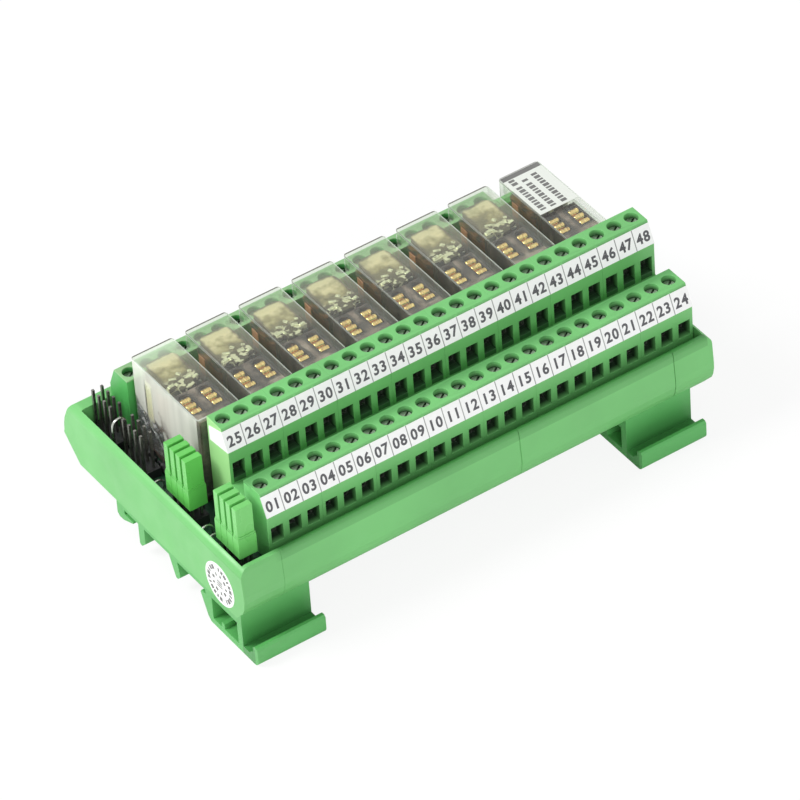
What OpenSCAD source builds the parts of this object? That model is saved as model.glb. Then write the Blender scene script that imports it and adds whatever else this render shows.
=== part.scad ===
// Eight-channel relay board in a snap-together carrier for a 35 mm mounting rail.
// X runs along the terminal rows, Y from the front terminals to the back, Z up.
// The origin is at the centre of the outer box, on the surface that the feet stand on.

/* [Carrier] */
// Length of each end element along X
end_el_l = 11.25; // [9:0.25:16]
// Length of the short middle element
short_el_l = 45; // [40:0.5:50]
// Thickness of the two end plates
end_plate = 1.5; // [1.2:0.1:2]
// Front shell thickness beside the edge of the board
front_shell = 1.3; // [1:0.1:2]
// Distance from the back edge of the board to the outermost back face
back_shell = 4.9; // [4.6:0.1:7]
// Thickness of the carrier floor
floor_t = 2.2; // [2:0.1:3]
// Clear height between floor and board
board_lift = 5.5; // [5:0.1:6]
// Height of the walls above the top of the board
wall_above = 7.8; // [6:0.1:11]
// How far the front wall covers the board's edge
front_cover = 0.8; // [0.6:0.1:1.2]
// How far the back rim covers the board's edge
back_cover = 2.2; // [1.8:0.1:2.4]
// Wall thickness of the hollow back rim
rim_wall = 2; // [1.2:0.1:2.2]
// How far the front wall leans in at its top edge
wall_lean = 0.6; // [0.4:0.1:1]
// Size of the slanted edge under the back wall
back_chamfer = 6.2; // [6:0.1:7]
// Rounding of the top edge of the end plates
end_round = 2.6; // [1:0.1:3]
// Number of joint tongues between two elements
tongues = 3; // [2:1:4]
// Width of a joint tongue
tongue_w = 9; // [6:0.5:12]
// Reach of a joint tongue over the next element
tongue_reach = 4; // [3:0.5:6]
// Thickness of a joint tongue
tongue_t = 1.4; // [1:0.1:2]

/* [Rail feet] */
// Width of a rail foot along X
foot_w = 19.1; // [15:0.1:24]
// Distance from the right end of the carrier to the right foot
foot_inset = 5.6; // [2:0.1:10]
// Height from the standing surface to the rail seat
seat_h = 9; // [8.5:0.1:12]
// Thickness of the base plate of a foot
foot_base = 1; // [0.8:0.1:1.6]
// Distance from the front face of the carrier to the front wall of the latch box
foot_setback = 2.3; // [1.8:0.1:3]
// Width of the mounting rail across its two flanges
rail_w = 35; // [35:0.1:35.4]
// Play of the rail between its two grips
rail_play = 0.1; // [0:0.05:0.4]
// Height of the slot that takes a rail flange
flange_slot = 1.3; // [1.1:0.1:1.6]
// Depth of the flange slot in the latch box
latch_grip = 2.3; // [1.5:0.1:3]
// Depth of the flange slot behind the fixed claw
claw_grip = 3.7; // [2.5:0.1:4.5]
// Thickness of the upright stem of the fixed claw
claw_stem = 3.3; // [2:0.1:4]
// Length of the latch box along Y at its base
box_l = 17.7; // [14:0.1:20]
// Thickness of the front wall of the latch box
box_front_wall = 2.1; // [1.5:0.1:3]
// Thickness of the floor of the latch box
box_floor = 1.8; // [1.4:0.1:2.4]
// Clear length of the hollow in the latch box
box_hollow = 10.7; // [8:0.1:11]
// Reach of the release lip in front of the carrier
lip_reach = 3.9; // [3:0.1:6]
// Height of the upturned end of the release lip
lip_h = 5.7; // [4.5:0.1:7]
// Thickness of the upturned end of the release lip
lip_t = 2; // [1.4:0.1:2.6]
// Thickness of the floor of the release lip
lip_floor = 2.3; // [1.6:0.1:3]
// Distance from the rail's centre line to the middle hook
mid_hook_y = 4.2; // [3:0.1:5]
// Distance from the rail's centre line to the rear hook
rear_hook_y = 10.2; // [9:0.1:11]
// Thickness of the two inner hooks
hook_t = 2.6; // [2:0.1:3.2]
// Depth of the two inner hooks below the rail seat
hook_h = 6.4; // [5:0.1:7]

/* [Circuit board] */
// Thickness of the circuit board
board_t = 1.6; // [1.2:0.1:2.4]
// How far leads reach below the board
lead_below = 1.6; // [1:0.1:2.5]
// Radius of a round solder lead
lead_r = 0.5; // [0.4:0.05:0.6]

/* [Terminal blocks] */
// Distance between two poles
pitch = 5.08; // [5.08:0.01:5.08]
// Poles in one block
block_poles = 3; // [3:1:3]
// Distance from the front face of the carrier to the front of the blocks
term_setback = 5.8; // [5:0.1:7]
// Height of the lower level above the board
low_h = 19.8; // [19:0.1:22]
// Height of the upper level above the board
high_h = 29.7; // [29:0.1:32]
// Depth of the lower level at its body
low_depth = 9.1; // [9:0.1:10]
// Setback of the upper level's front behind the lower level's front
high_setback = 14.8; // [14.5:0.1:17]
// Depth of the upper level at its body
high_depth = 8.5; // [8.5:0.1:10]
// Height of the trough between the two levels above the board
trough_h = 14.3; // [13.5:0.1:14.6]
// Height of the single row above the board
back_h = 17.9; // [17:0.1:20]
// Depth of the single row
back_depth = 8.2; // [8.2:0.1:9]
// Height of the slanted label face
label_h = 5; // [4:0.1:5.4]
// How far the label face leans back
label_lean = 2.2; // [1.6:0.1:2.6]
// Width of a wire opening
wire_w = 3.3; // [2.8:0.1:3.6]
// Height of a wire opening
wire_h = 4.6; // [4:0.1:5]
// Drop from the top face to the wire opening
wire_drop = 9.3; // [8.8:0.1:9.4]
// Height of a wire opening in the single row
back_wire_h = 4; // [3.5:0.1:4.4]
// Drop from the top face of the single row to its wire opening
back_wire_drop = 6.4; // [6.2:0.1:6.8]
// Radius of a screw hole
screw_hole_r = 1.8; // [1.6:0.05:1.9]
// Radius of a screw head
screw_r = 1.6; // [1.4:0.05:1.7]
// Depth of the screw head below the top face
screw_sink = 1.6; // [1:0.1:2.5]
// Length of the clamp chamber along Y
chamber_l = 5; // [4.4:0.1:5.2]

/* [Relays] */
// Number of relays, each with a double-level terminal block in front of it
relays = 8; // [6:1:8]
// Distance between two relays
relay_pitch = 15.1; // [14:0.05:15.2]
// Distance from the first pole to the centre of the first relay
relay_shift = 3; // [2:0.1:5]
// Gap between the front terminals and the relays
relay_gap = 3.7; // [2:0.1:4]
// Width of a relay
relay_w = 11.8; // [11.4:0.1:12.8]
// Distance from the front face of a relay to the yoke plate
yoke_y = 14.4; // [14.2:0.1:15]
// Length of the bobbin's flanges along the relay
bobbin_l = 11; // [10.5:0.1:11.5]
// Height of a relay
relay_h = 25.5; // [25:0.1:28]
// Wall thickness of the clear cover
cover_t = 0.9; // [0.6:0.05:1.1]
// Height of the flange of the relay base
flange_h = 1.6; // [1.2:0.1:2]
// Height of the relay base inside the cover
base_h = 5; // [4.5:0.1:5.5]
// Thickness of the yoke and the armature
iron_t = 1.1; // [0.8:0.1:1.2]
// Gap between the armature and the pole face at rest
air_gap = 0.7; // [0.65:0.05:0.9]
// Radius of the coil winding
coil_r = 4.4; // [3.8:0.1:4.6]
// Radius of the iron core
core_r = 1.6; // [1.2:0.1:2]
// Gap between the bobbin's rear end and the cover
bobbin_play = 1.2; // [0.8:0.1:2]

/* [Pin headers and jumpers] */
// Clear width for the headers between the left end plate and the first terminal block
header_room = 9.9; // [9:0.1:12]
// Distance between two header pins
pin_pitch = 2.54; // [2.54:0.01:2.54]
// Pins in one header row
pin_rows = 4; // [4:1:4]
// Side of a square header pin
pin_side = 0.64; // [0.5:0.02:0.7]
// Height of a header pin above the board
pin_h = 13.5; // [12:0.1:15]
// Height of the plastic bar of a header
header_h = 2.5; // [2:0.1:3]
// Distance from the inner face of the left end plate to the header's centre
header_inset = 4.2; // [3.5:0.1:4.4]
// Height of a jumper above the board
jumper_h = 20.9; // [18:0.1:23]
// Height of the lower end of a jumper above the board
jumper_foot_h = 6; // [3:0.1:7]
// Height of the shoulder of a jumper above the board
jumper_body_h = 12; // [9:0.1:13]
// Width of the wide body of a jumper
jumper_w = 5; // [4.6:0.1:5.4]
// Thickness of the grip of a jumper
grip_t = 1.7; // [1.5:0.1:2]

/* [Small parts] */
// Thickness of the paper labels
label_t = 0.15; // [0.1:0.05:0.3]
// Radius of a diode body
diode_r = 1.1; // [0.9:0.05:1.15]
// Length of a diode body
diode_l = 5.2; // [4:0.1:6]
// Radius of the bare wires
wire_r = 0.35; // [0.3:0.05:0.45]

/* [Clearances] */
// Clearance of sliding fits
slide_gap = 0.1; // [0.05:0.05:0.2]
// Radial clearance of a lead in its hole
lead_gap = 0.08; // [0.05:0.01:0.15]
// Gap between a stack of parts and the wall beside it
side_gap = 0.18; // [0.1:0.02:0.4]
// Gap between the relays and the back row of terminals
row_gap = 0.8; // [0.4:0.1:1.5]
// Gap between the back row of terminals and the back rim
rim_gap = 0.3; // [0.2:0.05:0.6]
// Gap between a fixed and a moving part inside a relay
relay_play = 0.3; // [0.2:0.05:0.35]

/* [Hidden] */
$fn = 48;
front_blocks = relays;
back_blocks = relays - 1;

// Carrier along X: the long element takes what the end elements and the short one leave
block_l = pitch * block_poles;
carrier_l = 2 * end_plate + header_room + front_blocks * block_l + side_gap;
long_el_l = carrier_l - 2 * end_el_l - short_el_l;
x_left = -carrier_l / 2;
x_right = carrier_l / 2;
x_joint_1 = x_left + end_el_l;
x_joint_2 = x_joint_1 + long_el_l;
x_joint_3 = x_joint_2 + short_el_l;

// Along a relay, from its front face to its rear end
bobbin_gap = 0.4;
coil_y = yoke_y + iron_t + bobbin_gap + bobbin_l / 2;
relay_l = coil_y + bobbin_l / 2 + bobbin_play + cover_t;

// Carrier across Y: the board is as wide as the rows of parts that stand on it
board_w = term_setback + high_setback + high_depth + relay_gap + relay_l + row_gap + back_depth
          + rim_gap + back_cover - front_shell;
carrier_w = front_shell + board_w + back_shell;
y_back = (carrier_w + lip_reach) / 2;
y_front = y_back - carrier_w;
y_board = y_front + front_shell;
y_board_end = y_board + board_w;
y_open_front = y_board + front_cover;
y_open_back = y_board_end - back_cover;

// Shape of the carrier's section
rim_round = 1;
crease_in = 0.4;
corner_fill = 2.1;
rim_bend = 1;
rim_bend_h = 2.6;
shelf_t = 1.5;
// Slanted foot of the front wall: distance behind the front face, height above the underside
skirt = [[0, 7], [0.45, 4.9], [1.05, 3.5], [3.2, 1.1], [4.15, 0]];
// Round back rim: distance in front of the back face, part of the height of the upright wall
rim_curve = [[0, 0], [0.25, 0.1], [0.5, 0.3], [1.05, 0.5], [2.4, 0.77], [2.9, 0.87], [3.5, 0.95], [4.2, 1]];
board_rest = 1.2;

// Heights
z_under = seat_h + foot_base;
z_floor = z_under + floor_t;
z_board = z_floor + board_lift;
z_top = z_board + board_t;
z_wall = z_top + wall_above;

// Terminal blocks
x_term_end = x_right - end_plate - side_gap;
x_term = x_term_end - front_blocks * block_l;
x_pole = x_term + pitch / 2;
y_low = y_front + term_setback;
y_low_back = y_low + low_depth;
y_high = y_low + high_setback;
y_high_back = y_high + high_depth;
z_low = z_top + low_h;
z_high = z_top + high_h;
z_trough = z_top + trough_h;
z_row = z_top + back_h;
label_bevel = 0.7;
label_inset = 0.3;
fold_edge = 0.9;
fold_drop = 0.8;
low_screw_y = y_low + (label_lean + label_inset + low_depth) / 2;
high_screw_y = y_high + (label_lean + label_inset + high_depth) / 2;

// Clamp chamber round a pole
chamber_w = 3.8;
chamber_over = 1;
chamber_under = 0.8;
clamp_gap = 0.1;
clamp_wire_w = 2.6;
clamp_web = 1;
clamp_top = 1.4;
clamp_slack = 0.6;
screw_shank_r = 1.2;
screw_head_t = 1.4;
slot_w = 0.5;
slot_d = 0.8;

// Relays
y_relay = y_high_back + relay_gap;
x_relay = x_pole + relay_shift;
y_row = y_relay + relay_l + row_gap;
y_row_end = y_row + back_depth;
row_lead = 1.2;
x_row = x_relay - relay_w / 2 - row_lead;
row_screw_y = y_row_end - (label_lean + label_inset + back_depth) / 2;

// Inside of a relay, measured from its front face and from the top of the board
inner_w = relay_w - 2 * cover_t - 2 * slide_gap;
inner_y = cover_t + slide_gap;
lid_gap = 0.4;
armature_z = relay_h - cover_t - lid_gap - iron_t;
core_top = armature_z - air_gap;
yoke_top = armature_z - relay_play;
pole_face_r = 3.4;
pole_face_t = 0.9;
bobbin_w = 9.4;
bobbin_flange = 0.9;
bobbin_round = 1.5;
bobbin_bottom = base_h + iron_t + slide_gap;
bobbin_top = core_top - pole_face_t - 2 * slide_gap;
yoke_edge = 1.4;
yoke_reach = coil_y + core_r + yoke_edge - yoke_y;
coil_pin_x = 3.7;
coil_pin_y = coil_y + bobbin_l / 2 - lead_r;

// Armature: a broad plate over the coil, a neck over the hinge, a leg and a card
armature_w = 8.6;
armature_round = 2.2;
leg_y = yoke_y - relay_play - iron_t;
neck_l = 1.6;
plate_edge = 0.7;
armature_y = leg_y + neck_l;
armature_end = coil_y + bobbin_l / 2 - plate_edge;
neck_w = 4;
card_z = 17;
card_h = 2;
card_gap = 0.6;
card_w = 6.6;

// Contacts
spring_t = 0.3;
contact_x = 2.9;
contact_w = 2.4;
contact_top = 23;
rivet_r = 1.15;
rivet_t = 0.7;
rivet_edge = 0.2;
rivet_z = contact_top - rivet_r - rivet_edge;
moving_y = 7.7;
contact_step = 2.3;
open_y = moving_y - contact_step;
closed_y = moving_y + contact_step;
closed_arm_h = 2.9;
post_x = 3.8;
post_w = 0.6;

// Housing round the contacts: walls and a top frame with a window over each contact
housing_top = 23.6;
housing_t = 0.55;
housing_lid = 1.2;
leg_gap = 0.4;
housing_l = leg_y - leg_gap - inner_y;
rib_w = 1.6;
rib_gap = 0.4;
rib_y = open_y - rib_gap;
window_gap = 0.25;
window_lead = 1;
window_w = contact_w + 2 * window_gap;
window_y = open_y - window_lead;
window_arch_y = closed_y + spring_t + window_gap;

// Headers: the middle of each group is measured from the front face of the carrier
x_header = x_left + end_plate + header_inset;
header_w = 2 * pin_pitch;
header_l = pin_rows * pin_pitch;
front_group = 10.65;
rear_group = 31.75;
third_group = 52.6;
last_group = y_open_back - y_front - header_l / 2 - slide_gap;
header_groups = [front_group, rear_group, third_group, last_group];
lead_z = z_board - lead_below;
lead_hole_r = lead_r + lead_gap;

// Diodes beside the first relay and loops of bare wire between the headers
diodes = 3;
diode_gap = 1.4;
diode_setback = 3.2;
diode_step = 10.2;
diode_lead = 1.6;
diode_x = x_relay - relay_w / 2 - diode_gap;
diode_y = [for (i = [0:diodes - 1]) y_relay + diode_setback + i * diode_step];
diode_reach = diode_l / 2 + diode_lead;
link_shift = 1;
link_x = x_header - link_shift;
link_step = 1.5;
link_y = [y_front + (front_group + rear_group) / 2 - link_step,
          y_front + (front_group + rear_group) / 2 + link_step,
          y_front + (rear_group + third_group) / 2 + link_step,
          y_front + (third_group + last_group) / 2];
link_h = [3, 3.6, 2.8, 11.5];
link_span = 3.6;

// Rail
y_box = y_front + foot_setback;
y_box_back = y_box + box_l;
y_stem = y_box_back - latch_grip + rail_w + rail_play;
y_rail = y_stem - (rail_w + rail_play) / 2;
y_claw = y_stem + claw_stem;

// Dovetails that hold the feet under the floor
dovetail_w = 3;
dovetail_flare = 0.5;
dovetail_h = 1.3;
dovetail_y = [y_rail - 12.5, y_rail + 13.5];

// Colours
green = [0.36, 0.74, 0.38];
bright_green = [0.3, 0.82, 0.3];
dark_green = [0.06, 0.25, 0.13];
steel = [0.7, 0.71, 0.72];
gold = [0.86, 0.68, 0.42];
cream = [0.78, 0.77, 0.66];
paper = [0.93, 0.94, 0.93];
brown_grey = [0.27, 0.24, 0.24];
black = [0.09, 0.09, 0.1];
clear = [0.85, 0.9, 0.86, 0.35];
copper = [0.75, 0.4, 0.22];

// Draws a section in Y and Z along X, from x0 over the length l
module along_x(x0, l) {
    translate([x0, 0, 0]) rotate([90, 0, 90]) linear_extrude(l) children();
}

// Square-edged block from one corner
module block(corner, size) {
    translate(corner) cube(size);
}

// Rod along Y
module rod_y(at, r, l) {
    translate(at) rotate([-90, 0, 0]) cylinder(r = r, h = l);
}

// Rectangle with round corners, from its lower left corner
module round_rect(w, l, r) {
    translate([r, 0]) square([w - 2 * r, l]);
    translate([0, r]) square([w, l - 2 * r]);
    for (x = [r, w - r], y = [r, l - r]) translate([x, y]) circle(r);
}

// Carrier

module carrier_outline() {
    z_slant = z_under + back_chamfer;
    polygon(concat(
        [[y_open_front, z_wall],
         [y_front + wall_lean + crease_in, z_wall],
         [y_front + wall_lean, z_wall - rim_round],
         [y_front, z_top - crease_in]],
        [for (p = skirt) [y_front + p[0], z_under + p[1]]],
        [[y_back - back_chamfer, z_under]],
        [for (p = rim_curve) [y_back - p[0], z_slant + p[1] * (z_wall - z_slant)]],
        [[y_open_back, z_wall]]));
}

// The tray, the grooves that hold the board and the hollow in the back rim
module carrier_hollow() {
    shelf_z = z_board - slide_gap - shelf_t;
    inner_back = y_back - rim_wall - board_rest;
    slant_y = y_back - back_chamfer + floor_t - rim_wall * sqrt(2);
    rim_top = z_wall - rim_wall;
    polygon([
        [y_open_front, z_floor + corner_fill],
        [y_open_front + corner_fill, z_floor],
        [y_open_back, z_floor],
        [y_open_back, z_wall + 1],
        [y_open_front, z_wall + 1]]);
    translate([y_board - slide_gap, z_board - slide_gap])
        square([board_w + 2 * slide_gap, board_t + 2 * slide_gap]);
    polygon([
        [y_open_back + rim_wall, z_top],
        [inner_back, z_top],
        [inner_back, rim_top - rim_bend_h],
        [inner_back - rim_bend, rim_top],
        [y_open_back + rim_wall, rim_top]]);
    polygon([
        [y_open_back - 1, z_floor],
        [slant_y, z_floor],
        [slant_y + shelf_z - z_floor, shelf_z],
        [y_open_back - 1, shelf_z]]);
}

module dovetail(grow, low) {
    polygon([
        [-dovetail_w / 2 - grow, low],
        [dovetail_w / 2 + grow, low],
        [dovetail_w / 2 + dovetail_flare + grow, dovetail_h + grow],
        [-dovetail_w / 2 - dovetail_flare - grow, dovetail_h + grow]]);
}

module carrier_section() {
    difference() {
        carrier_outline();
        carrier_hollow();
        for (y = dovetail_y) translate([y, z_under]) dovetail(slide_gap, -1);
    }
}

// Tongues on the floor of one element that reach over the floor of the next
module joint_tongues(x) {
    spread = (y_open_back - y_open_front) / tongues;
    for (i = [0:tongues - 1])
        block([x - tongue_reach, y_open_front + (i + 0.5) * spread - tongue_w / 2, z_floor],
              [2 * tongue_reach, tongue_w, tongue_t]);
}

// What is cut off to round the top edge of an end plate: side is -1 or 1
module edge_round(side) {
    r = end_round;
    x_edge = side * carrier_l / 2;
    x_corner = side > 0 ? x_edge - r : x_edge - 1;
    difference() {
        block([x_corner, y_front - 1, z_wall - r], [r + 1, carrier_w + 2, r + 1]);
        rod_y([x_edge - side * r, y_front - 2, z_wall - r], r, carrier_w + 4);
    }
}

module end_element(x0, side) {
    difference() {
        union() {
            along_x(x0, end_el_l) carrier_section();
            along_x(side > 0 ? x0 + end_el_l - end_plate : x0, end_plate) carrier_outline();
        }
        edge_round(side);
    }
}

module left_end_element() {
    color(green) {
        end_element(x_left, -1);
        joint_tongues(x_joint_1);
    }
}

module long_element() {
    color(green) {
        along_x(x_joint_1, long_el_l) carrier_section();
        joint_tongues(x_joint_2);
    }
}

module short_element() {
    color(green) {
        along_x(x_joint_2, short_el_l) carrier_section();
        joint_tongues(x_joint_3);
    }
}

module right_end_element() {
    color(green) end_element(x_joint_3, 1);
}

// Rail feet

// Base plate with the fixed claw at the back and two inner hooks
module foot_base_section() {
    half = hook_t / 2;
    rear = y_rail + rear_hook_y;
    mid = y_rail - mid_hook_y;
    polygon(concat(
        [[y_box, z_under + lookup(foot_setback, skirt)]],
        [for (p = skirt) if (p[0] > foot_setback) [y_front + p[0], z_under + p[1]]],
        [[y_claw, z_under],
         [y_claw, seat_h - 2.8],
         [y_claw - 1, seat_h - 3.6],
         [y_claw - 2.7, seat_h - 3.5],
         [y_stem - claw_grip, seat_h - flange_slot - 0.5],
         [y_stem - claw_grip, seat_h - flange_slot],
         [y_stem, seat_h - flange_slot],
         [y_stem, seat_h],
         [rear + half, seat_h],
         [rear + half, seat_h - hook_h + 0.3],
         [rear + half - 0.4, seat_h - hook_h],
         [rear + half - 1, seat_h - hook_h],
         [rear - half, seat_h - hook_h + 1.6],
         [rear - half, seat_h],
         [mid + half + 1, seat_h],
         [mid + half - 1.4, seat_h - hook_h + 0.7],
         [mid + half - 2.2, seat_h - hook_h + 0.7],
         [mid - half - 0.8, seat_h - hook_h + 1.9],
         [mid - half, seat_h],
         [y_box, seat_h]]));
}

// Latch box with the slot for the rail's front flange and the release lip
module latch_section() {
    y_lip = y_front - lip_reach;
    lip_round = 1.8;
    difference() {
        union() {
            polygon([
                [y_box, seat_h],
                [y_box_back - latch_grip, seat_h],
                [y_box_back - latch_grip, seat_h - flange_slot],
                [y_box_back - 0.5, seat_h - flange_slot],
                [y_box_back, seat_h - flange_slot - 0.8],
                [y_box_back - 2.6, 1.2],
                [y_box_back - 3.8, 0],
                [y_lip + lip_round, 0],
                [y_lip + lip_round, lip_round],
                [y_lip, lip_round],
                [y_lip, lip_h - 0.6],
                [y_lip + 0.5, lip_h],
                [y_lip + lip_t - 0.6, lip_h],
                [y_lip + lip_t, lip_h - 0.6],
                [y_lip + lip_t, lip_floor],
                [y_box, lip_floor]]);
            translate([y_lip + lip_round, lip_round]) circle(lip_round);
        }
        translate([y_box + box_front_wall, box_floor]) square([box_hollow, seat_h - box_floor - 0.6]);
    }
    translate([y_box + box_front_wall + box_hollow * 0.55, box_floor]) square([1.2, 1.5]);
}

module rail_foot(x0, rib_x0) {
    along_x(x0, foot_w) {
        foot_base_section();
        latch_section();
    }
    along_x(rib_x0, x0 + foot_w - rib_x0)
        for (y = dovetail_y) translate([y, z_under]) dovetail(0, -0.2);
}

module left_rail_foot() {
    color(green) rail_foot(x_left, x_left + end_plate + side_gap);
}

module right_rail_foot() {
    x0 = x_right - foot_inset - foot_w;
    color(green) rail_foot(x0, x0);
}

// Circuit board

// Places its children at every pole of both front rows
module at_front_poles() {
    for (i = [0:front_blocks * block_poles - 1], y = [low_screw_y, high_screw_y])
        translate([x_pole + i * pitch, y]) children();
}

module at_back_poles() {
    for (i = [0:back_blocks * block_poles - 1])
        translate([x_row + (i + 0.5) * pitch, row_screw_y]) children();
}

module at_relays() {
    for (i = [0:relays - 1]) translate([x_relay + i * relay_pitch, y_relay]) children();
}

module at_relay_leads() {
    for (side = [-1, 1]) {
        for (y = [moving_y, open_y]) translate([side * contact_x, y + spring_t / 2]) children();
        translate([side * post_x, closed_y + spring_t / 2]) children();
        translate([side * coil_pin_x, coil_pin_y]) children();
    }
}

module at_header_pins(groups) {
    for (group = groups, row = [0:pin_rows - 1], side = [-1, 1])
        translate([x_header + side * pin_pitch / 2, y_front + group + (row - (pin_rows - 1) / 2) * pin_pitch])
            children();
}

module at_diode_leads() {
    for (y = diode_y, end = [-1, 1]) translate([diode_x, y + end * diode_reach]) children();
}

module at_link_legs() {
    for (y = link_y, side = [-1, 1]) translate([link_x + side * link_span / 2, y]) children();
}

module circuit_board() {
    x0 = x_left + end_plate + slide_gap;
    color(dark_green) translate([0, 0, z_board]) linear_extrude(board_t) difference() {
        translate([x0, y_board]) square([carrier_l - 2 * end_plate - 2 * slide_gap, board_w]);
        at_front_poles() circle(lead_hole_r);
        at_back_poles() circle(lead_hole_r);
        at_relays() at_relay_leads() circle(lead_hole_r);
        at_header_pins(header_groups) circle(lead_hole_r);
        at_diode_leads() circle(wire_r + lead_gap);
        at_link_legs() circle(wire_r + lead_gap);
    }
}

// Terminal blocks

module double_level_section() {
    polygon([
        [y_low, z_top],
        [y_low, z_low - label_bevel - label_h],
        [y_low + label_lean, z_low - label_bevel],
        [y_low + label_lean + label_inset, z_low],
        [y_low_back, z_low],
        [y_low_back, z_trough],
        [y_high, z_trough],
        [y_high, z_high - label_bevel - label_h],
        [y_high + label_lean, z_high - label_bevel],
        [y_high + label_lean + label_inset, z_high],
        [y_high_back, z_high],
        [y_high_back, z_top]]);
}

module single_level_section() {
    polygon([
        [y_row, z_top],
        [y_row, z_row],
        [y_row_end - label_lean - label_inset, z_row],
        [y_row_end - label_lean, z_row - label_bevel],
        [y_row_end, z_row - label_bevel - label_h],
        [y_row_end, z_top]]);
}

// Screw hole, clamp chamber, wire opening and lead channel of one pole. face_y is the face that the
// wire goes in by, and facing is -1 where it looks to the front and 1 where it looks to the back.
module pole_cut(x, screw_y, top_z, face_y, facing, drop, opening_h) {
    chamber_z = top_z - drop - opening_h - chamber_under;
    chamber_h = chamber_under + opening_h + chamber_over;
    translate([x, screw_y, chamber_z]) cylinder(r = screw_hole_r, h = top_z - chamber_z + 1);
    block([x - chamber_w / 2, screw_y - chamber_l / 2, chamber_z], [chamber_w, chamber_l, chamber_h]);
    block([x - wire_w / 2, facing < 0 ? face_y - 1 : screw_y, top_z - drop - opening_h],
          [wire_w, abs(face_y - screw_y) + 1, opening_h]);
    translate([x, screw_y, z_top - 1]) cylinder(r = lead_hole_r, h = chamber_z - z_top + 2);
}

module terminal_block(index) {
    x0 = x_term + index * block_l;
    color(green) difference() {
        along_x(x0, block_l) double_level_section();
        for (i = [0:block_poles - 1]) {
            x = x0 + (i + 0.5) * pitch;
            pole_cut(x, low_screw_y, z_low, y_low, -1, wire_drop, wire_h);
            pole_cut(x, high_screw_y, z_high, y_high, -1, wire_drop, wire_h);
        }
    }
}

module back_terminals() {
    for (index = [0:back_blocks - 1]) {
        x0 = x_row + index * block_l;
        color(green) difference() {
            along_x(x0, block_l) single_level_section();
            for (i = [0:block_poles - 1])
                pole_cut(x0 + (i + 0.5) * pitch, row_screw_y, z_row, y_row_end, 1,
                         back_wire_drop, back_wire_h);
        }
    }
}

// Slotted screw, from the top face that its head is sunk under
module terminal_screw(top_z, drop) {
    head_z = top_z - screw_sink - screw_head_t;
    tip_z = top_z - drop - clamp_slack;
    translate([0, 0, tip_z]) cylinder(r = screw_shank_r, h = head_z - tip_z + 0.1);
    difference() {
        translate([0, 0, head_z]) cylinder(r = screw_r, h = screw_head_t);
        rotate(35) translate([-screw_r - 1, -slot_w / 2, head_z + screw_head_t - slot_d])
            cube([2 * screw_r + 2, slot_w, slot_d + 1]);
    }
}

module terminal_screws() {
    color(steel) {
        for (i = [0:front_blocks * block_poles - 1]) {
            translate([x_pole + i * pitch, low_screw_y]) terminal_screw(z_low, wire_drop);
            translate([x_pole + i * pitch, high_screw_y]) terminal_screw(z_high, wire_drop);
        }
        at_back_poles() terminal_screw(z_row, back_wire_drop);
    }
}

// Cage that lifts to grip the wire, with its lead through the board
module wire_clamp(top_z, drop, opening_h) {
    low = top_z - drop - opening_h - chamber_under + clamp_gap;
    high = top_z - drop + chamber_over - clamp_gap;
    w = chamber_w - 2 * clamp_gap;
    l = chamber_l - 2 * clamp_gap;
    difference() {
        block([-w / 2, -l / 2, low], [w, l, high - low]);
        block([-clamp_wire_w / 2, -l / 2 - 1, low + clamp_web],
              [clamp_wire_w, l + 2, high - low - clamp_web - clamp_top]);
        translate([0, 0, low + clamp_web]) cylinder(r = screw_shank_r + lead_gap, h = high - low);
    }
    translate([0, 0, lead_z]) cylinder(r = lead_r, h = low - lead_z + 0.1);
}

module wire_clamps() {
    color(steel) {
        for (i = [0:front_blocks * block_poles - 1]) {
            translate([x_pole + i * pitch, low_screw_y]) wire_clamp(z_low, wire_drop, wire_h);
            translate([x_pole + i * pitch, high_screw_y]) wire_clamp(z_high, wire_drop, wire_h);
        }
        at_back_poles() wire_clamp(z_row, back_wire_drop, back_wire_h);
    }
}

// Paper strip on the slanted label face whose lower edge is at y and z
module label_strip_section(y, z) {
    slope = norm([label_lean, label_h]);
    out = [-label_h, label_lean] * label_t / slope;
    low = [y, z];
    high = [y + label_lean, z + label_h];
    polygon([low, high, high + out, low + out]);
}

module lower_label_strip() {
    color(paper) along_x(x_term, front_blocks * block_l)
        label_strip_section(y_low, z_low - label_bevel - label_h);
}

// The upper strip is folded round the left end of its row
module upper_label_strip() {
    z = z_high - label_bevel - label_h;
    out = [-label_h, label_lean] * label_t / norm([label_lean, label_h]);
    low = [y_high, z];
    high = [y_high + label_lean, z + label_h];
    color(paper) {
        along_x(x_term - label_t, front_blocks * block_l + label_t) label_strip_section(y_high, z);
        along_x(x_term - label_t, label_t)
            polygon([low + out, [y_high_back - fold_edge, z - fold_drop],
                     [y_high_back - fold_edge, z + label_h - 2 * fold_drop], high + out]);
    }
}

// Relays

module relay_cover(index) {
    corner = [x_relay + index * relay_pitch - relay_w / 2, y_relay, z_top + flange_h];
    color(clear) translate(corner) difference() {
        linear_extrude(relay_h - flange_h) round_rect(relay_w, relay_l, cover_t);
        block([cover_t, cover_t, -1],
              [relay_w - 2 * cover_t, relay_l - 2 * cover_t, relay_h - flange_h - cover_t + 1]);
    }
}

// Plan of the housing's walls, and of the windows in its top
module housing_walls() {
    translate([-inner_w / 2, inner_y]) square([inner_w, housing_t]);
    for (x = [-inner_w / 2, inner_w / 2 - housing_t]) translate([x, inner_y]) square([housing_t, housing_l]);
    translate([-rib_w / 2, inner_y]) square([rib_w, rib_y - inner_y]);
}

module housing_windows() {
    for (side = [-1, 1]) {
        translate([side * contact_x - window_w / 2, window_y]) square([window_w, window_arch_y - window_y]);
        translate([side * contact_x, window_arch_y]) circle(window_w / 2);
    }
}

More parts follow.
